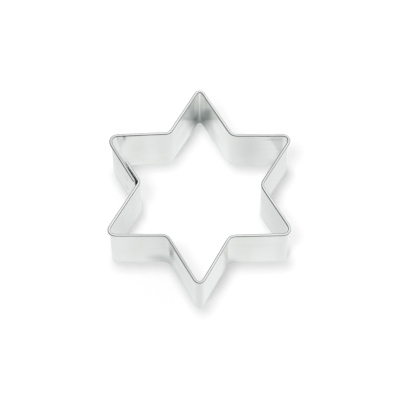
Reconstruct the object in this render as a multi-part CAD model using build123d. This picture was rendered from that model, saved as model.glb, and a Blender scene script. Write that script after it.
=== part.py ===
from build123d import *
import os
from math import cos, pi, radians, sin, sqrt, tan

# A star cookie cutter, bent from one strip of tinplate and spot welded where its ends overlap.
# Millimetres. Z is up from the cutting edge, and the star's top tip points along Y.
# The origin is under the middle of the cutter's box, on the plane of the cutting edge.

# Driving dimensions of the star
TIP_RADIUS = 38.1
HEIGHT = 25.4
TIP_COUNT = 6

# Tinplate and the rim that is rolled outwards along its top
SHEET = 0.3
RIM_BORE = 0.5
CURL_ANGLE = 285.0

# Bends: the inside of a tip, and the hollow that the rim leaves in a valley
TIP_INSIDE_RADIUS = 1.0
VALLEY_RIM_RADIUS = 2.4

# Lap joint, on the flank between the upper left tip and the left valley.
# The outer end stops short of the valley, and the inner end carries on past it.
OUTER_END_SETBACK = 2.4
LAP_LENGTH = 7.7
LAP_CLEARANCE = 0.05
RIM_GAP_AT_END = 0.2
RIM_GAP_AT_VALLEY = 0.4
FLARE_DEPTH = 7.0
BEND_RUN_OUT = 0.25

# Spot welds through both layers of the lap
WELD_DIAMETER = 2.0
WELD_TO_END = 1.3
ELECTRODE_RADIUS = 8.0
weld_height_shares = (0.35, 0.81)

# The bends in the order that the strip passes them, clockwise seen from above.
# Hand bending leaves each a little off a true star, so each has a turn as a share of the
# pitch between corners, a reach as a share of its nominal radius, and a bend radius share.
corner_shares = (
    ("upper_left_tip", -0.003, 0.999, 2.0),
    ("upper_left_valley", -0.083, 1.030, 0.8),
    ("top_tip", -0.003, 0.992, 1.05),
    ("upper_right_valley", -0.020, 1.017, 1.2),
    ("upper_right_tip", 0.012, 1.004, 1.6),
    ("right_valley", 0.020, 0.979, 1.05),
    ("lower_right_tip", 0.017, 0.993, 1.85),
    ("lower_right_valley", -0.030, 0.995, 1.0),
    ("bottom_tip", 0.0, 1.003, 1.35),
    ("lower_left_valley", -0.033, 0.996, 1.0),
    ("lower_left_tip", -0.007, 0.996, 1.6),
    ("left_valley", 0.004, 0.987, 0.5),
)

# Sizes that follow from the driving ones
half_sheet = SHEET / 2
rim_radius = RIM_BORE / 2 + SHEET
rim_reach = 2 * rim_radius - half_sheet
curl_height = HEIGHT - rim_radius
flare_height = HEIGHT - FLARE_DEPTH
lap_pitch = SHEET + LAP_CLEARANCE
corner_pitch = pi / TIP_COUNT
valley_radius = TIP_RADIUS / sqrt(3)
first_bearing = pi - corner_pitch


def corner_point(place):
    """Where the wall's mid lines meet at a corner, given its place in the order of bends."""
    name, turn_share, reach_share, bend_share = corner_shares[place]
    nominal = TIP_RADIUS if name.endswith("tip") else valley_radius
    bearing = first_bearing - corner_pitch * (place - turn_share)
    return Vector(cos(bearing), sin(bearing), 0) * (nominal * reach_share)


def bend_radius(place):
    """The radius of the wall's mid surface round a corner."""
    name, turn_share, reach_share, bend_share = corner_shares[place]
    if name.endswith("tip"):
        return TIP_INSIDE_RADIUS * bend_share + half_sheet
    return VALLEY_RIM_RADIUS * bend_share + rim_reach


corners = [corner_point(place) for place in range(len(corner_shares))]
left_valley = corners[-1]
flank_along = (corners[0] - left_valley).normalized()
flank_outward = Vector(-flank_along.Y, flank_along.X, 0)


def lap_point(run, inset):
    """A point beside the lapped flank, run from its valley and inset from the outer layer."""
    return left_valley + flank_along * run - flank_outward * inset


def strip_outline(origin, along, foot_shift=0.0):
    """The outline of the strip's cross section, square to its run, with its rim curled outside.

    The foot of the wall can be shifted outwards below the flare.
    """
    curl_centre = Vector(rim_radius - half_sheet, curl_height)
    bore_radius = RIM_BORE / 2

    def on_curl(radius, turned):
        bearing = pi - radians(turned)
        return curl_centre + Vector(cos(bearing), sin(bearing)) * radius

    def curl(radius, turns):
        start, middle, end = (on_curl(radius, turned) for turned in turns)
        return ThreePointArc(start, middle, end)

    half, quarter = CURL_ANGLE / 2, CURL_ANGLE / 4
    first_turns, last_turns = (0, quarter, half), (half, half + quarter, CURL_ANGLE)
    inner_foot, inner_knee = (foot_shift - half_sheet, 0), (foot_shift - half_sheet, flare_height)
    outer_foot, outer_knee = (foot_shift + half_sheet, 0), (foot_shift + half_sheet, flare_height)
    outline = Wire(
        [
            Line(inner_foot, inner_knee),
            Line(inner_knee, on_curl(rim_radius, 0)),
            curl(rim_radius, first_turns),
            curl(rim_radius, last_turns),
            Line(on_curl(rim_radius, CURL_ANGLE), on_curl(bore_radius, CURL_ANGLE)),
            curl(bore_radius, last_turns[::-1]),
            curl(bore_radius, first_turns[::-1]),
            Line(on_curl(bore_radius, 0), outer_knee),
            Line(outer_knee, outer_foot),
            Line(outer_foot, inner_foot),
        ]
    )
    outward = Vector(-along.Y, along.X, 0)
    return Plane(origin=origin, x_dir=outward, z_dir=along) * outline


def make_formed_strip():
    """The whole strip: walls, bends and rolled rim, with its inner end set inside the outer."""
    # The inner layer leaves the valley just inside the rim of the outer layer
    valley_inset = rim_reach + half_sheet + RIM_GAP_AT_VALLEY
    last_flank = (left_valley - corners[-2]).normalized()
    slide = valley_inset / -last_flank.dot(flank_outward)
    inner_corner = left_valley + last_flank * slide
    end_run = OUTER_END_SETBACK + LAP_LENGTH
    end_inset = rim_reach + half_sheet + RIM_GAP_AT_END
    inner_end = lap_point(end_run, end_inset)
    inner_along = (inner_end - inner_corner).normalized()

    # The main run, from the outer end round the star to just past the last bend
    radii = [bend_radius(place) for place in range(len(corners))]
    turn = last_flank.get_angle(inner_along)
    bend_length = radii[-1] * tan(radians(turn / 2))
    run_start = lap_point(OUTER_END_SETBACK, 0)
    run_end = inner_corner + inner_along * (bend_length + BEND_RUN_OUT)
    route = FilletPolyline(run_start, *corners[:-1], inner_corner, run_end, radius=radii)
    main_run = sweep(Face(strip_outline(run_start, flank_along)), path=route)

    # The inner end, twisted so that its foot lies on the outer layer where it is welded
    touch_run = end_run - 2 * WELD_TO_END
    touch_share = touch_run / end_run
    touch_inset = valley_inset + (end_inset - valley_inset) * touch_share
    inner_layer = Solid.make_loft(
        [
            strip_outline(run_end, inner_along),
            strip_outline(lap_point(touch_run, touch_inset), flank_along, touch_inset - lap_pitch),
            strip_outline(inner_end, flank_along, end_inset - lap_pitch),
        ],
        ruled=True,
    )
    return main_run + inner_layer


def weld_planes():
    """The middle of each spot weld, between the two layers, facing outwards."""
    run = OUTER_END_SETBACK + LAP_LENGTH - WELD_TO_END
    middle = lap_point(run, lap_pitch / 2)
    return [
        Plane(
            origin=middle + Vector(0, 0, flare_height * share),
            x_dir=flank_along,
            z_dir=flank_outward,
        )
        for share in weld_height_shares
    ]


def make_spot_welds():
    """Nuggets that fill both layers, each face dished by a domed electrode."""
    depth = lap_pitch + SHEET
    radius = WELD_DIAMETER / 2
    dome_height = sqrt(ELECTRODE_RADIUS**2 - radius**2)
    nuggets = []
    for plane in weld_planes():
        nugget = plane * Cylinder(radius, depth)
        for side in (-1, 1):
            nugget -= plane * Pos(0, 0, side * (depth / 2 + dome_height)) * Sphere(ELECTRODE_RADIUS)
        nuggets.append(nugget.solid())
    return nuggets


nuggets = make_spot_welds()
weld_holes = [plane * Cylinder(WELD_DIAMETER / 2, 2 * (lap_pitch + SHEET)) for plane in weld_planes()]
strip = make_formed_strip()
for hole in weld_holes:
    strip -= hole

# The origin moves under the middle of the box
box = strip.bounding_box()
to_middle = Pos(-box.center().X, -box.center().Y, 0)

os.makedirs("parts", exist_ok=True)
export_step(to_middle * strip, "parts/formed_strip.step")
export_step(Compound([to_middle * nugget for nugget in nuggets]), "parts/spot_welds.step")
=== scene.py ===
"""Looks of a star cookie cutter: one tinplate strip with a rolled rim, spot welded at its lap.

Everything is in metres in the frame of the CAD model. Sizes are written in millimetres and
turned to metres by MM.
"""

import bisect
import logging
import math
from dataclasses import dataclass, field
from enum import Enum, IntEnum

import bmesh
import bpy
from mathutils import Euler, Matrix, Vector, noise

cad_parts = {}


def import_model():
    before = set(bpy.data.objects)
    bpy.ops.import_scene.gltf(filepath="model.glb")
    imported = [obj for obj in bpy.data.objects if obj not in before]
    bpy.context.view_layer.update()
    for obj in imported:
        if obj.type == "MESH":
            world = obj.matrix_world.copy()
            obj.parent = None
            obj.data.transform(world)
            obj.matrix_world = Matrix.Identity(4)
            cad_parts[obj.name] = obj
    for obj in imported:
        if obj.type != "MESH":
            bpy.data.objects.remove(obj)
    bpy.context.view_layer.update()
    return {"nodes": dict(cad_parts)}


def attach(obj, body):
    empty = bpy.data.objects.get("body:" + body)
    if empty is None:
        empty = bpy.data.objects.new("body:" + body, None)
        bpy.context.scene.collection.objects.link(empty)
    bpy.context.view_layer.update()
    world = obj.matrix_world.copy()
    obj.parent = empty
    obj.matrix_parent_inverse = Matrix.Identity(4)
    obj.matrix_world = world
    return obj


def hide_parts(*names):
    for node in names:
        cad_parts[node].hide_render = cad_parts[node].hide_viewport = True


MM = 0.001
UP = Vector((0, 0, 1))
WHITE = (1.0, 1.0, 1.0, 1.0)
# Two places nearer to each other than this are one
TOUCHING = 0.001 * MM
# The names of what the flat strip carries for its material
UV_MAP = "flat_strip"
STRAIN = "strain"
PAINTED_SHADE = "painted_shade"

log = logging.getLogger("cookie_cutter")


def linear(hex_colour: str) -> tuple[float, float, float, float]:
    """Turns an sRGB hex colour into linear light.

    Args:
        hex_colour: Six hex digits, such as "e4e6e5".

    Returns:
        Red, green, blue and an alpha of 1.
    """
    # The numbers are the sRGB curve's own: a straight foot, and then a power
    channels = []
    for start in (0, 2, 4):
        value = int(hex_colour[start:start + 2], 16) / 255
        low = value <= 0.04045
        channels.append(value / 12.92 if low else ((value + 0.055) / 1.055) ** 2.4)
    return (*channels, 1.0)


def add_node(tree: bpy.types.NodeTree, kind: str, settings: dict | None = None,
             inputs: dict | None = None) -> bpy.types.Node:
    """Adds one node with its settings, input values and links.

    Args:
        tree: The node tree that gets the node.
        kind: Blender's name of the node's type.
        settings: Values of the node's own properties.
        inputs: Values or output sockets, by input name or index.

    Returns:
        The new node.
    """
    node = tree.nodes.new(kind)
    for name, value in (settings or {}).items():
        setattr(node, name, value)
    for name, value in (inputs or {}).items():
        if isinstance(value, bpy.types.NodeSocket):
            tree.links.new(value, node.inputs[name])
        else:
            node.inputs[name].default_value = value
    return node


class Corner(IntEnum):
    """The star's corners, clockwise seen from above, in the order that the strip passes them."""

    UPPER_LEFT_TIP = 0
    UPPER_LEFT_VALLEY = 1
    TOP_TIP = 2
    UPPER_RIGHT_VALLEY = 3
    UPPER_RIGHT_TIP = 4
    RIGHT_VALLEY = 5
    LOWER_RIGHT_TIP = 6
    LOWER_RIGHT_VALLEY = 7
    BOTTOM_TIP = 8
    LOWER_LEFT_VALLEY = 9
    LOWER_LEFT_TIP = 10
    LEFT_VALLEY = 11

    @property
    def is_tip(self) -> bool:
        """Tells a tip from a valley. They take turns, from a tip."""
        return self % 2 == 0


class Face(Enum):
    """The two faces of the sheet."""

    INNER = "inner"
    OUTER = "outer"


@dataclass(frozen=True)
class Bend:
    """One bend of the strip, as hand bending left it.

    Args:
        corner: The corner that it makes.
        turn: How far anticlockwise of its true place it is, as a share of the corners' pitch.
        reach: Its distance from the middle as a share of the nominal one.
        share: Its bend radius as a share of the nominal one.
    """

    corner: Corner
    turn: float
    reach: float
    share: float


@dataclass(frozen=True)
class Station:
    """A place along the strip's run.

    Args:
        run: Length of strip up to here.
        point: Where the wall's mid surface stands.
        outward: The way that the wall faces away from the star's middle.
        foot_shift: How far the foot of the wall is pushed outwards.
        strain: 1 in the tightest part of a bend, and 0 in a flank.
    """

    run: float
    point: Vector
    outward: Vector
    foot_shift: float
    strain: float


@dataclass(frozen=True)
class EasedBend:
    """A hand made bend, which isn't a true arc: its curvature swells and fades again.

    Args:
        tangent: How far before its corner it starts.
        points: Where each step ends, along the run into it and across to its inside.
        turns: How far it has turned there, in radians.
        curvatures: The curvature there, as a share of the tightest.
        step: The length of each step.
    """

    tangent: float
    points: list[Vector]
    turns: list[float]
    curvatures: list[float]
    step: float


@dataclass(frozen=True)
class PaintedShade:
    """A soft patch of painted shade and painted reflection on one face of the sheet.

    Args:
        corner: The bend that it is measured from.
        offset: How far past that bend its middle is.
        height: How high its middle is above the cutting edge.
        length: How far it reaches along the strip, to each side.
        rise: How far it reaches up and down.
        depth: How far it turns the tin to the painted shade colour, where 1 is all of it.
        face: The face that it is on.
        slant: How far it leans along the strip for each unit of its height.
    """

    corner: int
    offset: float
    height: float
    length: float
    rise: float
    depth: float
    face: Face
    slant: float = 0.0


def painted_shade_table() -> tuple[PaintedShade, ...]:
    """Lists the patches of painted shade and painted reflection that show in the photograph.

    Returns:
        The marks, in the order of the bends that they are measured from.
    """
    inner, outer = Face.INNER, Face.OUTER
    # Each has its corner, offset, height, length, rise, depth, face and slant
    return (
        PaintedShade(Corner.UPPER_LEFT_TIP, -11.0 * MM, 12.0 * MM, 14.0 * MM, 60.0 * MM, 0.27, outer),
        PaintedShade(Corner.TOP_TIP, -15.5 * MM, 21.0 * MM, 4.0 * MM, 6.0 * MM, 0.1, inner),
        PaintedShade(Corner.TOP_TIP, -12.3 * MM, 19.5 * MM, 2.2 * MM, 4.5 * MM, 0.16, inner, -0.4),
        PaintedShade(Corner.TOP_TIP, -10.0 * MM, 10.0 * MM, 4.5 * MM, 5.5 * MM, 0.16, inner),
        PaintedShade(Corner.TOP_TIP, -3.2 * MM, 7.5 * MM, 2.6 * MM, 2.5 * MM, 0.22, inner),
        PaintedShade(Corner.TOP_TIP, -1.8 * MM, 5.5 * MM, 1.8 * MM, 3.5 * MM, 0.25, inner),
        PaintedShade(Corner.TOP_TIP, 0.0 * MM, 12.0 * MM, 0.9 * MM, 7.0 * MM, 0.3, inner),
        PaintedShade(Corner.TOP_TIP, 2.0 * MM, 6.0 * MM, 1.5 * MM, 3.5 * MM, 0.16, inner),
        PaintedShade(Corner.TOP_TIP, 5.5 * MM, 15.5 * MM, 1.7 * MM, 6.5 * MM, 0.42, inner, 0.3),
        PaintedShade(Corner.TOP_TIP, 7.5 * MM, 7.0 * MM, 4.0 * MM, 8.0 * MM, 0.32, inner),
        PaintedShade(Corner.TOP_TIP, 11.5 * MM, 19.0 * MM, 2.0 * MM, 3.5 * MM, 0.12, inner, 0.3),
        PaintedShade(Corner.UPPER_RIGHT_VALLEY, 6.0 * MM, 13.0 * MM, 4.5 * MM, 20.0 * MM, 0.1, inner),
        PaintedShade(Corner.UPPER_RIGHT_VALLEY, 12.0 * MM, 12.0 * MM, 10.0 * MM, 60.0 * MM, 0.09, inner),
        PaintedShade(Corner.UPPER_RIGHT_TIP, -5.5 * MM, 22.4 * MM, 3.4 * MM, 0.9 * MM, 0.22, inner),
        PaintedShade(Corner.UPPER_RIGHT_TIP, 11.0 * MM, 12.0 * MM, 12.0 * MM, 60.0 * MM, 0.14, outer),
        PaintedShade(Corner.RIGHT_VALLEY, 11.0 * MM, 12.0 * MM, 12.0 * MM, 60.0 * MM, 0.3, inner),
        PaintedShade(Corner.BOTTOM_TIP, 12.0 * MM, 12.0 * MM, 12.0 * MM, 60.0 * MM, 0.27, outer),
        PaintedShade(Corner.LOWER_LEFT_VALLEY, -3.2 * MM, 13.5 * MM, 1.5 * MM, 4.0 * MM, 0.5, outer),
        PaintedShade(Corner.LOWER_LEFT_VALLEY, -6.0 * MM, 4.0 * MM, 4.0 * MM, 2.5 * MM, 0.16, outer),
        PaintedShade(Corner.LOWER_LEFT_VALLEY, 3.6 * MM, 3.6 * MM, 3.0 * MM, 3.0 * MM, 0.27, outer),
        PaintedShade(Corner.LOWER_LEFT_TIP, 8.5 * MM, 12.0 * MM, 4.0 * MM, 30.0 * MM, 0.12, inner, -0.35),
        PaintedShade(Corner.LOWER_LEFT_TIP, 12.0 * MM, 12.0 * MM, 12.0 * MM, 60.0 * MM, 0.16, inner),
    )


def bend_table() -> tuple[Bend, ...]:
    """Lists the bends with the places and radii that the photograph shows.

    Returns:
        The bends, clockwise from the upper left tip.
    """
    return (
        Bend(Corner.UPPER_LEFT_TIP, -0.003, 0.999, 2.0),
        Bend(Corner.UPPER_LEFT_VALLEY, -0.083, 1.030, 0.8),
        Bend(Corner.TOP_TIP, -0.003, 0.992, 1.05),
        Bend(Corner.UPPER_RIGHT_VALLEY, -0.020, 1.017, 1.2),
        Bend(Corner.UPPER_RIGHT_TIP, 0.012, 1.004, 1.6),
        Bend(Corner.RIGHT_VALLEY, 0.020, 0.979, 1.05),
        Bend(Corner.LOWER_RIGHT_TIP, 0.017, 0.993, 1.85),
        Bend(Corner.LOWER_RIGHT_VALLEY, -0.030, 0.995, 1.0),
        Bend(Corner.BOTTOM_TIP, 0.0, 1.003, 1.35),
        Bend(Corner.LOWER_LEFT_VALLEY, -0.033, 0.996, 1.0),
        Bend(Corner.LOWER_LEFT_TIP, -0.007, 0.996, 1.6),
        Bend(Corner.LEFT_VALLEY, 0.004, 0.987, 0.5),
    )


@dataclass
class FormedStrip:
    """The whole strip: roll formed flat, bent round into a star and lapped at its ends.

    Angles are in degrees.
    """

    # The sizes of the CAD model
    tip_radius: float = 38.1 * MM
    height: float = 25.4 * MM
    sheet: float = 0.3 * MM
    rim_bore: float = 0.5 * MM
    curl_angle: float = 285.0
    tip_inside_radius: float = 1.0 * MM
    valley_rim_radius: float = 2.4 * MM
    outer_end_setback: float = 2.4 * MM
    lap_length: float = 7.7 * MM
    lap_clearance: float = 0.05 * MM
    rim_gap_at_end: float = 0.2 * MM
    rim_gap_at_valley: float = 0.4 * MM
    flare_depth: float = 7.0 * MM
    bend_run_out: float = 0.25 * MM
    weld_to_end: float = 1.3 * MM
    weld_height_shares: tuple[float, ...] = (0.35, 0.81)
    # How far the CAD model moves the star's centre, to put the origin under its box's middle
    shift_x: float = -0.03163 * MM
    shift_y: float = 0.00527 * MM
    bends: tuple[Bend, ...] = field(default_factory=bend_table)
    marks: tuple[PaintedShade, ...] = field(default_factory=painted_shade_table)

    # How finely the strip is divided, and how round its edges are
    flank_step: float = 1.0 * MM
    fine_step: float = 0.3 * MM
    bend_step: float = 6.0
    bend_ease: float = 0.8
    wall_steps: int = 52
    curl_steps: int = 24
    edge_round: float = 0.05 * MM
    edge_segments: int = 2
    edge_angle: float = 50.0
    sharp_angle: float = 20.0

    # What the welding electrodes and handling did to the sheet. A share below 1 draws the
    # waves out up the wall.
    dent_radius: float = 1.35 * MM
    dent_depth: float = 0.05 * MM
    wave_length: float = 11.0 * MM
    wave_rise_share: float = 0.7
    wave_height: float = 0.05 * MM
    ripple_length: float = 3.2 * MM
    ripple_rise_share: float = 0.3
    ripple_height: float = 0.008 * MM

    def __post_init__(self) -> None:
        """Works out the sizes that follow from the driving ones."""
        self.half_sheet = self.sheet / 2
        self.rim_radius = self.rim_bore / 2 + self.sheet
        self.rim_reach = 2 * self.rim_radius - self.half_sheet
        self.curl_height = self.height - self.rim_radius
        self.flare_height = self.height - self.flare_depth
        self.lap_pitch = self.sheet + self.lap_clearance
        self.pitch = math.tau / len(self.bends)
        self.corners = [self.corner_point(place) for place in range(len(self.bends))]
        self.left_valley = self.corners[-1]
        self.flank_along = (self.corners[0] - self.left_valley).normalized()
        self.flank_outward = UP.cross(self.flank_along)
        self.stations = self.lay_out()

    def corner_point(self, place: int) -> Vector:
        """Gives the point where the wall's mid lines meet at a corner.

        Args:
            place: The corner's number in the order of the bends.

        Returns:
            The point, on the plane of the cutting edge.
        """
        bend = self.bends[place]
        nominal = self.tip_radius
        if not bend.corner.is_tip:
            nominal = self.tip_radius / math.sqrt(3)
        bearing = math.pi - self.pitch - self.pitch * (place - bend.turn)
        point = Vector((math.cos(bearing), math.sin(bearing), 0)) * nominal * bend.reach
        return point + Vector((self.shift_x, self.shift_y, 0))

    def bend_radius(self, place: int) -> float:
        """Gives the radius of the wall's mid surface round a corner.

        Args:
            place: The corner's number in the order of the bends.

        Returns:
            The radius of a true arc there.
        """
        bend = self.bends[place]
        if bend.corner.is_tip:
            return self.tip_inside_radius * bend.share + self.half_sheet
        return self.valley_rim_radius * bend.share + self.rim_reach

    def lap_point(self, run: float, inset: float) -> Vector:
        """Gives a point beside the lapped flank, run from its valley, inset from the wall."""
        return self.left_valley + self.flank_along * run - self.flank_outward * inset

    def lay_out(self) -> list[Station]:
        """Sets out the strip's run from its outer end, round the star, to its inner end.

        It also notes the run at the middle of each bend, which the patches of painted shade
        are measured from.

        Returns:
            The stations in the order of the run.
        """
        valley_inset = self.rim_reach + self.half_sheet + self.rim_gap_at_valley
        last_flank = (self.left_valley - self.corners[-2]).normalized()
        slide = valley_inset / -last_flank.dot(self.flank_outward)
        inner_corner = self.left_valley + last_flank * slide
        end_run = self.outer_end_setback + self.lap_length
        end_inset = self.rim_reach + self.half_sheet + self.rim_gap_at_end
        inner_end = self.lap_point(end_run, end_inset)
        inner_along = (inner_end - inner_corner).normalized()

        start = self.lap_point(self.outer_end_setback, 0)
        stations = [Station(0.0, start, self.flank_outward, 0.0, 0.0)]
        self.corner_runs = []
        places = [*self.corners[:-1], inner_corner]
        step = self.fine_step
        for place, corner in enumerate(places):
            onward = places[place + 1] if place + 1 < len(places) else inner_end
            here = stations[-1]
            along, next_along = (corner - here.point).normalized(), (onward - corner).normalized()
            bend = self.eased_bend(along.angle(next_along), self.bend_radius(place))
            self.add_flank(stations, corner - along * bend.tangent, UP.cross(along), 0.0, step)
            self.corner_runs.append(stations[-1].run + bend.step * len(bend.points) / 2)
            self.add_bend(stations, along, next_along, bend)
            step = self.flank_step
        run_end = stations[-1].point + inner_along * self.bend_run_out
        touch_run = end_run - 2 * self.weld_to_end
        touch_inset = valley_inset + (end_inset - valley_inset) * touch_run / end_run
        step = self.fine_step
        self.add_flank(stations, run_end, UP.cross(inner_along), 0.0, step)
        self.add_flank(stations, self.lap_point(touch_run, touch_inset), self.flank_outward,
                       touch_inset - self.lap_pitch, step)
        self.add_flank(stations, inner_end, self.flank_outward, end_inset - self.lap_pitch, step)
        return stations

    def add_flank(self, stations: list[Station], end: Vector, outward: Vector,
                  foot_shift: float, step: float) -> None:
        """Carries the stations on in a straight run, easing into the facing at its end.

        Args:
            stations: The stations so far, which are added to.
            end: Where the run ends.
            outward: The way that the wall faces at the end.
            foot_shift: How far the foot is pushed outwards at the end.
            step: The distance between stations at most.
        """
        start = stations[-1]
        length = (end - start.point).length
        count = max(1, math.ceil(length / step))
        for number in range(1, count + 1):
            share = number / count
            ease = share * share * (3 - 2 * share)
            stations.append(Station(
                start.run + length * share,
                start.point.lerp(end, share),
                start.outward.lerp(outward, ease).normalized(),
                start.foot_shift + (foot_shift - start.foot_shift) * ease,
                0.0))

    def eased_bend(self, turn: float, radius: float) -> EasedBend:
        """Works out a bend that swells and fades, and stands as far in as a true arc would.

        Args:
            turn: How far the strip turns, in radians.
            radius: The radius of the true arc.

        Returns:
            The bend, in steps of equal length.
        """
        count = 2 * math.ceil(math.degrees(turn) / self.bend_step / 2)
        points, turns, curvatures = [Vector((0, 0))], [0.0], []
        for number in range(count):
            middle, end = (number + 0.5) / count, (number + 1) / count
            way = turn * (middle - self.bend_ease * math.sin(math.tau * middle) / math.tau)
            points.append(points[-1] + Vector((math.cos(way), math.sin(way))) / count)
            turns.append(turn * (end - self.bend_ease * math.sin(math.tau * end) / math.tau))
            curvatures.append(
                (1 - self.bend_ease * math.cos(math.tau * end)) / (1 + self.bend_ease))
        tangent = points[-1].length / (2 * math.cos(turn / 2))
        set_in = (points[count // 2] - Vector((tangent, 0))).length
        size = radius * (1 / math.cos(turn / 2) - 1) / set_in
        return EasedBend(tangent * size, [point * size for point in points[1:]], turns[1:],
                         curvatures, size / count)

    def add_bend(self, stations: list[Station], along: Vector, next_along: Vector,
                 bend: EasedBend) -> None:
        """Carries the stations on round a bend.

        Args:
            stations: The stations so far, which are added to.
            along: The way that the strip runs into the bend.
            next_along: The way that it runs out of it.
            bend: The bend's steps.
        """
        start = stations[-1]
        side = math.copysign(1.0, along.cross(next_along).z)
        across = UP.cross(along) * side
        for number, (point, turn) in enumerate(zip(bend.points, bend.turns), start=1):
            facing = Matrix.Rotation(turn * side, 3, UP) @ start.outward
            stations.append(Station(
                start.run + bend.step * number,
                start.point + along * point.x + across * point.y,
                facing,
                0.0,
                bend.curvatures[number - 1]))

    def weld_points(self) -> list[Vector]:
        """Gives the places of the spot welds.

        Returns:
            The middle of each, between the two layers.
        """
        run = self.outer_end_setback + self.lap_length - self.weld_to_end
        middle = self.lap_point(run, self.lap_pitch / 2)
        return [middle + UP * self.flare_height * share for share in self.weld_height_shares]

    def section(self, shape: bmesh.types.BMesh) -> list[bmesh.types.BMEdge]:
        """Draws the wall and its curled rim as one line, at the end of a flat strip.

        Args:
            shape: The mesh that gets the line.

        Returns:
            The line's edges.
        """
        top = shape.verts.new((0, 0, 0))
        for number in range(1, self.wall_steps + 1):
            top = bmesh.ops.extrude_vert_indiv(shape, verts=[top])["verts"][0]
            top.co = (0, 0, self.curl_height * number / self.wall_steps)
        radius = self.rim_radius - self.half_sheet
        bmesh.ops.spin(shape, geom=[top], cent=(radius, 0, self.curl_height), axis=(0, 1, 0),
                       angle=math.radians(self.curl_angle), steps=self.curl_steps)
        return list(shape.edges)

    def flat_strip(self) -> bpy.types.Mesh:
        """Roll forms the flat strip: its mid surface, run along Y, with its rim curled to +X.

        Returns:
            A mesh with a UV map in metres, along the run and up the section, and the strain.
        """
        shape = bmesh.new()
        strain = shape.verts.layers.float.new(STRAIN)
        edges = self.section(shape)
        for before, after in zip(self.stations, self.stations[1:]):
            grown = bmesh.ops.extrude_edge_only(shape, edges=edges)["geom"]
            verts = [part for part in grown if isinstance(part, bmesh.types.BMVert)]
            bmesh.ops.translate(shape, verts=verts, vec=(0, after.run - before.run, 0))
            for vert in verts:
                vert[strain] = after.strain
            new = set(verts)
            edges = [part for part in grown if isinstance(part, bmesh.types.BMEdge)
                     and new.issuperset(part.verts)]
        uv = shape.loops.layers.uv.new(UV_MAP)
        for face in shape.faces:
            for loop in face.loops:
                loop[uv].uv = (loop.vert.co.y, self.section_length(loop.vert.co))
        bmesh.ops.recalc_face_normals(shape, faces=shape.faces)
        mesh = bpy.data.meshes.new("flat_strip")
        shape.to_mesh(mesh)
        shape.free()
        return mesh

    def section_length(self, point: Vector) -> float:
        """Gives the distance up the section from the foot to a point of its mid line.

        Args:
            point: A point of the flat strip's mid surface.

        Returns:
            The distance up the wall, and on round the curl.
        """
        if point.x < TOUCHING and point.z <= self.curl_height:
            return point.z
        radius = self.rim_radius - self.half_sheet
        turned = math.atan2(point.z - self.curl_height, radius - point.x) % math.tau
        return self.curl_height + radius * turned

    def thicken(self, mesh: bpy.types.Mesh) -> bpy.types.Mesh:
        """Gives the mid surface its thickness, and its sheared edges their small round.

        Args:
            mesh: The flat strip's mid surface, with its two materials. It is used up.

        Returns:
            The closed strip, still flat. Its sheared edges have the second material.
        """
        flat = bpy.data.objects.new("flat_strip", mesh)
        bpy.context.scene.collection.objects.link(flat)
        sheet = flat.modifiers.new("sheet", "SOLIDIFY")
        sheet.thickness = self.sheet
        sheet.offset = 0
        sheet.use_even_offset = True
        sheet.material_offset_rim = 1
        edge = flat.modifiers.new("sheared_edge", "BEVEL")
        edge.width = self.edge_round
        edge.segments = self.edge_segments
        edge.limit_method = "ANGLE"
        edge.angle_limit = math.radians(self.edge_angle)
        ready = flat.evaluated_get(bpy.context.evaluated_depsgraph_get())
        solid = bpy.data.meshes.new_from_object(ready)
        bpy.data.objects.remove(flat)
        bpy.data.meshes.remove(mesh)
        return solid

    def dent(self, run: float, height: float) -> float:
        """Gives how far the welding electrodes pressed the sheet at a place.

        Args:
            run: The place's distance along the strip.
            height: Its height above the cutting edge.

        Returns:
            The distance that the sheet moved, outwards.
        """
        total = self.stations[-1].run
        outer = self.lap_length - self.weld_to_end
        inner = total - self.weld_to_end
        depth = 0.0
        for share in self.weld_height_shares:
            for weld_run, way in ((outer, -1.0), (inner, 1.0)):
                off = math.hypot(run - weld_run, height - self.flare_height * share)
                if off < self.dent_radius:
                    depth += way * self.dent_depth * (1 - (off / self.dent_radius) ** 2) ** 2
        return depth

    def waviness(self, run: float, height: float) -> float:
        """Gives how far handling bent the sheet from flat at a place. The lap stays flat.

        Args:
            run: The place's distance along the strip.
            height: Its height above the cutting edge.

        Returns:
            The distance that the sheet moved, outwards.
        """
        total = self.stations[-1].run
        lap = self.lap_length + self.outer_end_setback
        clear = min(1.0, max(0.0, min(run, total - run) / lap - 1.0))
        # The lap's length as a third coordinate only keeps the ripples unlike the waves
        wave_place = Vector((run, height * self.wave_rise_share, 0.0))
        ripple_place = Vector((run, height * self.ripple_rise_share, lap))
        wave = noise.noise(wave_place / self.wave_length)
        ripple = noise.noise(ripple_place / self.ripple_length)
        return clear * (wave * self.wave_height + ripple * self.ripple_height)

    def painted_shade_level(self, run: float, height: float, face: Face) -> float:
        """Gives how much painted shade and painted reflection the patches lay on the tin at a
        place.

        Args:
            run: The place's distance along the strip.
            height: Its height above the cutting edge.
            face: The face of the sheet that it is on.

        Returns:
            The marks' depths there, added up.
        """
        # The painted shade of the patches here, added up
        dull = 0.0
        for mark in self.marks:
            if mark.face is not face:
                continue
            above = height - mark.height
            past = run - self.corner_runs[mark.corner] - mark.offset - above * mark.slant
            along, up = past / mark.length, above / mark.rise
            dull += mark.depth * math.exp(-along * along - up * up)
        return dull

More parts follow.
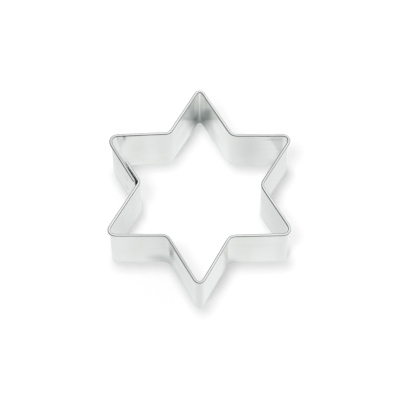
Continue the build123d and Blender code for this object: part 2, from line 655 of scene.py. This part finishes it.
    def bend_round(self, mesh: bpy.types.Mesh) -> None:
        """Bends the flat strip round its stations, and stores the painted shade of the patches.

        Args:
            mesh: The closed flat strip, whose points are moved.
        """
        runs = [station.run for station in self.stations]
        flare_depth = self.curl_height - self.flare_height
        painted_shade = mesh.attributes.new(PAINTED_SHADE, "FLOAT", "POINT")
        for vert in mesh.vertices:
            offset, run, height = vert.co
            place = min(max(bisect.bisect_right(runs, run) - 1, 0), len(runs) - 2)
            near, far = self.stations[place], self.stations[place + 1]
            share = (run - near.run) / (far.run - near.run)
            outward = near.outward.lerp(far.outward, share).normalized()
            lean = min(max((self.curl_height - height) / flare_depth, 0.0), 1.0)
            shift = (near.foot_shift + (far.foot_shift - near.foot_shift) * share) * lean
            stray = self.dent(run, height) + self.waviness(run, height)
            face = Face.INNER if offset < 0 else Face.OUTER
            # Painted shade and painted reflection, which the tin's colour reads
            painted_shade.data[vert.index].value = self.painted_shade_level(run, height, face)
            vert.co = (near.point.lerp(far.point, share) + UP * height
                       + outward * (offset + shift + stray))

    def build(self, tin: bpy.types.Material, edge: bpy.types.Material) -> bpy.types.Object:
        """Makes the strip, from roll forming to the finished bends.

        Args:
            tin: The material of its faces.
            edge: The material of its sheared edges.

        Returns:
            The strip's object.
        """
        flat = self.flat_strip()
        flat.materials.append(tin)
        flat.materials.append(edge)
        mesh = self.thicken(flat)
        self.bend_round(mesh)
        shape = bmesh.new()
        shape.from_mesh(mesh)
        bmesh.ops.recalc_face_normals(shape, faces=shape.faces)
        shape.to_mesh(mesh)
        shape.free()
        mesh.name = "rolled_rim_strip"
        mesh.shade_smooth()
        mesh.set_sharp_from_angle(angle=math.radians(self.sharp_angle))
        strip = bpy.data.objects.new("rolled_rim_strip", mesh)
        bpy.context.scene.collection.objects.link(strip)
        return strip


def nearest_weld(tree: bpy.types.NodeTree, welds: list[Vector]) -> bpy.types.NodeSocket:
    """Adds the distance from the surface to the nearer of the two spot welds.

    Args:
        tree: The material's nodes.
        welds: The middle of each weld.

    Returns:
        The distance in metres.
    """
    place = add_node(tree, "ShaderNodeTexCoord")
    away = [add_node(tree, "ShaderNodeVectorMath", {"operation": "DISTANCE"}, {
        0: place.outputs["Object"], 1: weld}).outputs["Value"] for weld in welds]
    nearest = add_node(tree, "ShaderNodeMath", {"operation": "MINIMUM"}, dict(enumerate(away)))
    return nearest.outputs[0]


@dataclass(frozen=True)
class Patches:
    """A soft pattern on the tin, laid on while the strip is flat.

    Args:
        length: The size of its patches along the strip.
        height: Their size up the wall.
        detail: How many finer layers it has.
        low: The level of the pattern at which a patch starts to show.
        high: The level at which it shows fully.
        share: How far a patch turns the tin to its colour.
        colour: The patch's colour.
        raggedness: How strong the finer layers are.
    """

    length: float
    height: float
    detail: float
    low: float
    high: float
    share: float
    colour: str
    raggedness: float = 0.55

    def level(self, tree: bpy.types.NodeTree) -> bpy.types.NodeSocket:
        """Adds the pattern to a material.

        Args:
            tree: The material's nodes.

        Returns:
            The pattern's level, mostly between 0.3 and 0.7.
        """
        flat = add_node(tree, "ShaderNodeUVMap", {"uv_map": UV_MAP})
        laid = add_node(tree, "ShaderNodeMapping", inputs={
            "Vector": flat.outputs[0], "Scale": (1 / self.length, 1 / self.height, 1.0)})
        pattern = add_node(tree, "ShaderNodeTexNoise", {"noise_dimensions": "2D"}, {
            "Vector": laid.outputs[0], "Scale": 1.0, "Detail": self.detail,
            "Roughness": self.raggedness})
        return pattern.outputs["Fac"]


@dataclass(frozen=True)
class Tinplate:
    """Bright tinplate: mild steel rolled thin and coated with tin, close to a mirror.

    The tin is soft, so handling leaves it with faint smears, and the rolling leaves a fine
    grain along the strip. Bends stretch it a little, which darkens it there; part of that
    darkening is painted shade. Patches of painted shade and painted reflection darken it
    where shade and dark reflections fall.
    """

    slot: str = "tinplate"
    colour: str = "e7e9e8"
    # Darker in the bends: partly the stretched tin, and partly painted shade
    strained_and_shaded_colour: str = "e2e5e3"
    # Painted shade and painted reflection: the dark colour that the patches turn the tin to
    painted_shade_colour: str = "4f6462"
    roughness: float = 0.13
    smear_roughness: float = 0.18
    # Clouds: the strip was pressed flat between rolls, so it mirrors in broad soft bands
    clouds: Patches = Patches(11 * MM, 60 * MM, 1.0, 0.35, 0.65, 1.0, "e1e3e1")
    # Streaks: fingers and cloths wiped the soft tin along the strip
    streaks: Patches = Patches(16 * MM, 3.4 * MM, 4.0, 0.42, 0.72, 0.12, "d8dbd9")
    # Rolling grain: the real lines are finer than the eye can tell apart, so they are drawn
    # over half a millimetre wide
    grain: Patches = Patches(40 * MM, 0.6 * MM, 2.0, 0.35, 0.7, 0.15, "d8dbd9")
    grain_relief: float = 0.0015 * MM
    # Heat tint: the weld's heat turned the tin about it straw coloured
    tint_colour: str = "cbc7be"
    tint_inner: float = 0.9 * MM
    tint_outer: float = 1.8 * MM
    tint_share: float = 0.35

    def material(self, welds: list[Vector]) -> bpy.types.Material:
        """Builds the material.

        Args:
            welds: The middle of each spot weld, which its heat has tinted.

        Returns:
            The material, for a strip that has its UV map in metres along and up it.
        """
        material = bpy.data.materials.new("bright_tinplate")
        material.use_nodes = True
        tree = material.node_tree
        tree.nodes.clear()
        soft = {"interpolation_type": "SMOOTHSTEP"}
        patterns = (self.clouds, self.streaks, self.grain)
        levels = [patches.level(tree) for patches in patterns]
        cloudy, smeared, grained = [
            add_node(tree, "ShaderNodeMapRange", soft, {
                "Value": level, "From Min": patches.low, "From Max": patches.high,
                "To Max": patches.share}).outputs[0]
            for patches, level in zip(patterns, levels)]
        strain = add_node(tree, "ShaderNodeAttribute", {"attribute_name": STRAIN})
        painted_shade = add_node(tree, "ShaderNodeAttribute", {"attribute_name": PAINTED_SHADE})
        tint = add_node(tree, "ShaderNodeMapRange", soft, {
            "Value": nearest_weld(tree, welds), "From Min": self.tint_inner,
            "From Max": self.tint_outer, "To Min": self.tint_share, "To Max": 0.0})
        colour = linear(self.colour)
        # The strained colour is partly painted shade in the bends; the patches' colour is painted
        # shade and painted reflection
        for share, other in (
                (cloudy, self.clouds.colour),
                (smeared, self.streaks.colour),
                (grained, self.grain.colour),
                (strain.outputs["Fac"], self.strained_and_shaded_colour),
                (painted_shade.outputs["Fac"], self.painted_shade_colour),
                (tint.outputs[0], self.tint_colour)):
            colour = add_node(tree, "ShaderNodeMix", {"data_type": "RGBA"}, {
                "Factor": share, "A": colour, "B": linear(other)}).outputs["Result"]
        rough = add_node(tree, "ShaderNodeMapRange", inputs={
            "Value": smeared, "From Max": self.streaks.share, "To Min": self.roughness,
            "To Max": self.smear_roughness})
        bump = add_node(tree, "ShaderNodeBump", inputs={
            "Strength": 1.0, "Distance": self.grain_relief, "Height": levels[-1]})
        shader = add_node(tree, "ShaderNodeBsdfPrincipled", inputs={
            "Base Color": colour, "Metallic": 1.0, "Roughness": rough.outputs[0],
            "Normal": bump.outputs[0]})
        add_node(tree, "ShaderNodeOutputMaterial", inputs={"Surface": shader.outputs[0]})
        return material


@dataclass(frozen=True)
class ShearedSteel:
    """The sheared edge: bare mild steel between two skins of tin, half torn and half cut."""

    colour: str = "a9aaa8"
    torn_colour: str = "8c8c89"
    roughness: float = 0.38
    tear_length: float = 0.5 * MM
    tear_detail: float = 3.0

    def material(self) -> bpy.types.Material:
        """Builds the material.

        Returns:
            The material, mottled where the shear tore the steel.
        """
        material = bpy.data.materials.new("sheared_steel_edge")
        material.use_nodes = True
        tree = material.node_tree
        tree.nodes.clear()
        place = add_node(tree, "ShaderNodeTexCoord")
        tears = add_node(tree, "ShaderNodeTexNoise", inputs={
            "Vector": place.outputs["Object"], "Scale": 1 / self.tear_length,
            "Detail": self.tear_detail})
        colour = add_node(tree, "ShaderNodeMix", {"data_type": "RGBA"}, {
            "Factor": tears.outputs["Fac"], "A": linear(self.colour),
            "B": linear(self.torn_colour)})
        shader = add_node(tree, "ShaderNodeBsdfPrincipled", inputs={
            "Base Color": colour.outputs["Result"], "Metallic": 1.0,
            "Roughness": self.roughness})
        add_node(tree, "ShaderNodeOutputMaterial", inputs={"Surface": shader.outputs[0]})
        return material


@dataclass(frozen=True)
class FusedTinplate:
    """A spot weld's face: tin and steel that melted under the electrode, dull and pitted."""

    colour: str = "d4d6d4"
    burnt_colour: str = "b3b0aa"
    roughness: float = 0.34
    pit_size: float = 0.25 * MM
    pit_detail: float = 2.0
    pit_depth: float = 0.01 * MM
    ring_pitch: float = 0.35 * MM
    ring_share: float = 0.35

    def material(self, welds: list[Vector]) -> bpy.types.Material:
        """Builds the material.

        Args:
            welds: The middle of each spot weld.

        Returns:
            The material, with faint rings about each weld's middle.
        """
        material = bpy.data.materials.new("fused_tinplate")
        material.use_nodes = True
        tree = material.node_tree
        tree.nodes.clear()
        place = add_node(tree, "ShaderNodeTexCoord")
        pits = add_node(tree, "ShaderNodeTexNoise", inputs={
            "Vector": place.outputs["Object"], "Scale": 1 / self.pit_size,
            "Detail": self.pit_detail})
        turned = add_node(tree, "ShaderNodeMath", {"operation": "MULTIPLY"}, {
            0: nearest_weld(tree, welds), 1: math.tau / self.ring_pitch})
        rings = add_node(tree, "ShaderNodeMath", {"operation": "SINE"}, {0: turned.outputs[0]})
        ringed = add_node(tree, "ShaderNodeMapRange", inputs={
            "Value": rings.outputs[0], "From Min": -1.0, "To Max": self.ring_share})
        burnt = add_node(tree, "ShaderNodeMath", {"operation": "ADD"}, {
            0: ringed.outputs[0], 1: pits.outputs["Fac"]})
        colour = add_node(tree, "ShaderNodeMix", {"data_type": "RGBA"}, {
            "Factor": burnt.outputs[0], "A": linear(self.colour),
            "B": linear(self.burnt_colour)})
        bump = add_node(tree, "ShaderNodeBump", inputs={
            "Distance": self.pit_depth, "Height": pits.outputs["Fac"]})
        shader = add_node(tree, "ShaderNodeBsdfPrincipled", inputs={
            "Base Color": colour.outputs["Result"], "Metallic": 1.0,
            "Roughness": self.roughness, "Normal": bump.outputs[0]})
        add_node(tree, "ShaderNodeOutputMaterial", inputs={"Surface": shader.outputs[0]})
        return material


@dataclass
class SpotWelds:
    """The two nuggets that hold the lap, which keep the shape of their CAD node."""

    node: str = "spot_welds"

    def dress(self, nodes: dict[str, bpy.types.Object],
              finish: bpy.types.Material) -> bpy.types.Object:
        """Gives the nuggets their finish.

        Args:
            nodes: The CAD nodes by name.
            finish: The material of the nuggets' faces.

        Returns:
            The nuggets' object.
        """
        nuggets = nodes[self.node]
        nuggets.data.materials.clear()
        nuggets.data.materials.append(finish)
        return nuggets


@dataclass(frozen=True)
class SoftLamp:
    """A large far lamp.

    Args:
        name: What it is called in the scene.
        bearing: The way to it in degrees, anticlockwise from the right seen from above.
        elevation: How high it stands, in degrees.
        spread: How wide it looks from the table, in degrees.
        strength: Its light on a surface that faces it, in watts per square metre.
    """

    name: str
    bearing: float
    elevation: float
    spread: float
    strength: float


def lamp_table() -> tuple[SoftLamp, ...]:
    """Lists the lamps, which set the table's shade and don't show in the tin.

    Returns:
        The main lamp overhead, and a weaker one at the front on the left.
    """
    return (
        SoftLamp("overhead_lamp", 124.0, 82.8, 12.0, 1.23),
        SoftLamp("front_lamp", 235.0, 70.0, 14.0, 1.09),
    )


@dataclass
class Studio:
    """A white table in a dim room, under a wide soft light. Angles are in degrees."""

    floor_size: float = 3000 * MM
    floor_colour: str = "fafafa"
    lamps: tuple[SoftLamp, ...] = field(default_factory=lamp_table)

    # Open sky that a point of the table sees: half beside a wall, less in a tip's corner
    shade_samples: int = 8
    wall_shade: float = 0.5
    corner_shade: float = 0.16

    # The camera sees the table's paint, and a share of glow with a painted contact shadow
    # beside a wall
    eye_share: float = 0.42
    eye_level: float = 1.13
    contact_level: float = 0.95
    contact_reach: float = 3.5 * MM

    # The tin mirrors mostly glow, with painted shade in a tip's corner, and a painted pool of
    # light that is brightest beside a wall and dims away from the star
    tin_share: float = 0.9
    tin_level: float = 1.07
    tin_far_level: float = 0.98
    shade_reach: float = 7 * MM
    # Painted shade in a tip's corner, which shows in the tin as a dark reflection
    painted_corner_shade: str = "3c524f"
    lit_near: float = 50 * MM
    lit_far: float = 110 * MM
    beyond_level: float = 0.7

    # The dome is bright inside one angle from its axis, and dim outside the other
    dome_bearing: float = 43.0
    dome_elevation: float = 72.0
    dome_inner: float = 49.0
    dome_outer: float = 62.0
    ceiling_level: float = 1.12
    room_level: float = 0.02
    fill_level: float = 0.29

    def table_paint(self) -> bpy.types.Material:
        """Builds the white paint, which looks its whitest in the camera and in the tin.

        Its glow carries painted shade and painted light: a contact shadow beside the walls for
        the camera, and dark tip corners and a pool of light fading away from the star for the
        tin.

        Returns:
            The material, for a table top with the star in its middle.
        """
        material = bpy.data.materials.new("white_table")
        material.use_nodes = True
        tree = material.node_tree
        tree.nodes.clear()
        ray = add_node(tree, "ShaderNodeLightPath")
        paint = add_node(tree, "ShaderNodeBsdfDiffuse", inputs={
            "Color": linear(self.floor_colour)})

        # Painted contact shadow: the camera's glow dims where a wall hides the open sky
        contact = add_node(tree, "ShaderNodeAmbientOcclusion", {"samples": self.shade_samples}, {
            "Distance": self.contact_reach})
        eye_strength = add_node(tree, "ShaderNodeMapRange", inputs={
            "Value": contact.outputs["AO"], "From Min": self.wall_shade,
            "To Min": self.contact_level, "To Max": self.eye_level})
        eye_glow = add_node(tree, "ShaderNodeEmission", inputs={
            "Strength": eye_strength.outputs[0]})
        eye_mix = add_node(tree, "ShaderNodeMath", {"operation": "MULTIPLY"}, {
            0: ray.outputs["Is Camera Ray"], 1: self.eye_share})
        seen = add_node(tree, "ShaderNodeMixShader", inputs={
            0: eye_mix.outputs[0], 1: paint.outputs[0], 2: eye_glow.outputs[0]})

        shade = add_node(tree, "ShaderNodeAmbientOcclusion", {"samples": self.shade_samples}, {
            "Distance": self.shade_reach})
        # Painted shade in a tip's corner, in what the tin mirrors
        corner = add_node(tree, "ShaderNodeMapRange", inputs={
            "Value": shade.outputs["AO"], "From Min": self.corner_shade,
            "From Max": self.wall_shade})
        tin_shaded_colour = add_node(tree, "ShaderNodeMix", {"data_type": "RGBA"}, {
            "Factor": corner.outputs[0], "A": linear(self.painted_corner_shade), "B": WHITE})
        # Painted light: the glow that the tin mirrors is a little brighter beside a wall
        near_strength = add_node(tree, "ShaderNodeMapRange", inputs={
            "Value": shade.outputs["AO"], "From Min": self.wall_shade,
            "To Min": self.tin_level, "To Max": self.tin_far_level})
        # The rim mirrors the table at a glance, out to where the painted pool of light leaves it
        place = add_node(tree, "ShaderNodeTexCoord")
        reach = add_node(tree, "ShaderNodeVectorMath", {"operation": "LENGTH"}, {
            0: place.outputs["Object"]})
        lit = add_node(tree, "ShaderNodeMapRange", inputs={
            "Value": reach.outputs["Value"], "From Min": self.lit_near,
            "From Max": self.lit_far, "To Min": 1.0, "To Max": self.beyond_level})
        tin_strength = add_node(tree, "ShaderNodeMath", {"operation": "MULTIPLY"}, {
            0: near_strength.outputs[0], 1: lit.outputs[0]})
        tin_glow = add_node(tree, "ShaderNodeEmission", inputs={
            "Color": tin_shaded_colour.outputs["Result"], "Strength": tin_strength.outputs[0]})
        mirrored = add_node(tree, "ShaderNodeMath", {"operation": "MAXIMUM"}, {
            0: ray.outputs["Is Glossy Ray"], 1: ray.outputs["Is Transmission Ray"]})
        tin_mix = add_node(tree, "ShaderNodeMath", {"operation": "MULTIPLY"}, {
            0: mirrored.outputs[0], 1: self.tin_share})
        top = add_node(tree, "ShaderNodeMixShader", inputs={
            0: tin_mix.outputs[0], 1: seen.outputs[0], 2: tin_glow.outputs[0]})
        add_node(tree, "ShaderNodeOutputMaterial", inputs={"Surface": top.outputs[0]})
        return material

    def floor(self) -> bpy.types.Object:
        """Builds the table top.

        Returns:
            The table top's object, level with the cutting edge.
        """
        mesh = bpy.data.meshes.new("table_top")
        shape = bmesh.new()
        bmesh.ops.create_grid(shape, x_segments=1, y_segments=1, size=self.floor_size / 2)
        shape.to_mesh(mesh)
        shape.free()
        mesh.materials.append(self.table_paint())
        floor = bpy.data.objects.new("table_top", mesh)
        bpy.context.scene.collection.objects.link(floor)
        return floor

    def hang(self, lamp: SoftLamp) -> bpy.types.Object:
        """Hangs one lamp, which shades the table and doesn't show in the tin.

        Args:
            lamp: Where it hangs, how wide it is and how bright.

        Returns:
            The lamp's object.
        """
        data = bpy.data.lights.new(lamp.name, "SUN")
        data.energy = lamp.strength
        data.angle = math.radians(lamp.spread)
        light = bpy.data.objects.new(lamp.name, data)
        bpy.context.scene.collection.objects.link(light)
        light.rotation_euler = (0, math.radians(90 - lamp.elevation), math.radians(lamp.bearing))
        light.visible_glossy = False
        return light

    def dome(self) -> bpy.types.World:
        """Builds the dome: bright overhead, and dim towards the walls of the room.

        Returns:
            The world that lights the scene.
        """
        world = bpy.data.worlds.new("studio_dome")
        world.use_nodes = True
        tree = world.node_tree
        tree.nodes.clear()
        way = add_node(tree, "ShaderNodeTexCoord")
        ray = add_node(tree, "ShaderNodeLightPath")
        lean = math.radians(90 - self.dome_elevation)
        middle = Euler((0, lean, math.radians(self.dome_bearing))).to_matrix() @ UP
        # The tin mirrors the dome where it hangs, and the table gets its fill from overhead
        axis = add_node(tree, "ShaderNodeMix", {"data_type": "VECTOR"}, {
            "Factor": ray.outputs["Is Diffuse Ray"], "A": middle, "B": UP})
        near = add_node(tree, "ShaderNodeVectorMath", {"operation": "DOT_PRODUCT"}, {
            0: way.outputs["Generated"], 1: axis.outputs["Result"]})
        bright = add_node(tree, "ShaderNodeMapRange", {"interpolation_type": "SMOOTHSTEP"}, {
            "Value": near.outputs["Value"],
            "From Min": math.cos(math.radians(self.dome_outer)),
            "From Max": math.cos(math.radians(self.dome_inner)),
            "To Min": self.room_level, "To Max": self.ceiling_level})
        fill = add_node(tree, "ShaderNodeMapRange", inputs={
            "Value": ray.outputs["Is Diffuse Ray"], "To Min": 1.0, "To Max": self.fill_level})
        strength = add_node(tree, "ShaderNodeMath", {"operation": "MULTIPLY"}, {
            0: bright.outputs[0], 1: fill.outputs[0]})
        room = add_node(tree, "ShaderNodeBackground", inputs={
            "Color": WHITE, "Strength": strength.outputs[0]})
        white = add_node(tree, "ShaderNodeBackground", inputs={
            "Color": WHITE, "Strength": 1.0})
        backdrop = add_node(tree, "ShaderNodeMixShader", inputs={
            0: ray.outputs["Is Camera Ray"], 1: room.outputs[0], 2: white.outputs[0]})
        add_node(tree, "ShaderNodeOutputWorld", inputs={"Surface": backdrop.outputs[0]})
        return world


@dataclass
class PhotoCamera:
    """A long lens above the front of the star, as the photograph was taken.

    Angles are in degrees, and the sensor's width is in the millimetres that Blender expects.
    """

    elevation: float = 66.3
    azimuth: float = 0.0
    distance: float = 977 * MM
    aim_x: float = 0.174 * MM
    aim_y: float = 5.365 * MM
    focal_pixels: float = 2677.85
    frame_pixels: int = 400
    sensor: float = 36.0
    nearest: float = 10 * MM
    farthest: float = 100000 * MM

    def build(self) -> bpy.types.Object:
        """Makes the camera and puts it in use.

        Returns:
            The camera's object.
        """
        data = bpy.data.cameras.new("photo_camera")
        data.sensor_fit = "HORIZONTAL"
        data.sensor_width = self.sensor
        data.lens = self.focal_pixels / self.frame_pixels * self.sensor
        data.clip_start = self.nearest
        data.clip_end = self.farthest
        camera = bpy.data.objects.new("photo_camera", data)
        bpy.context.scene.collection.objects.link(camera)
        tilt = math.radians(90 - self.elevation)
        turn = Euler((tilt, 0, math.radians(self.azimuth))).to_matrix()
        place = Vector((self.aim_x, self.aim_y, 0)) + turn @ Vector((0, 0, self.distance))
        camera.matrix_world = Matrix.Translation(place) @ turn.to_4x4()
        bpy.context.scene.camera = camera
        return camera


def main() -> None:
    """Builds and dresses everything in order."""
    logging.basicConfig(level=logging.INFO, format="%(message)s")
    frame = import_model()

    form = FormedStrip()
    tinplate = Tinplate()
    weld_points = form.weld_points()
    strip = form.build(tinplate.material(weld_points), ShearedSteel().material())
    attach(strip, "root")
    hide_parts("formed_strip")
    log.info("%s faces %d", strip.name, len(strip.data.polygons))

    welds = SpotWelds().dress(frame["nodes"], FusedTinplate().material(weld_points))
    log.info("%s faces %d", welds.name, len(welds.data.polygons))

    studio = Studio()
    studio.floor()
    for lamp in studio.lamps:
        studio.hang(lamp)
    bpy.context.scene.world = studio.dome()
    PhotoCamera().build()
    bpy.context.scene.view_settings.view_transform = "Standard"


if __name__ == "__main__":
    main()
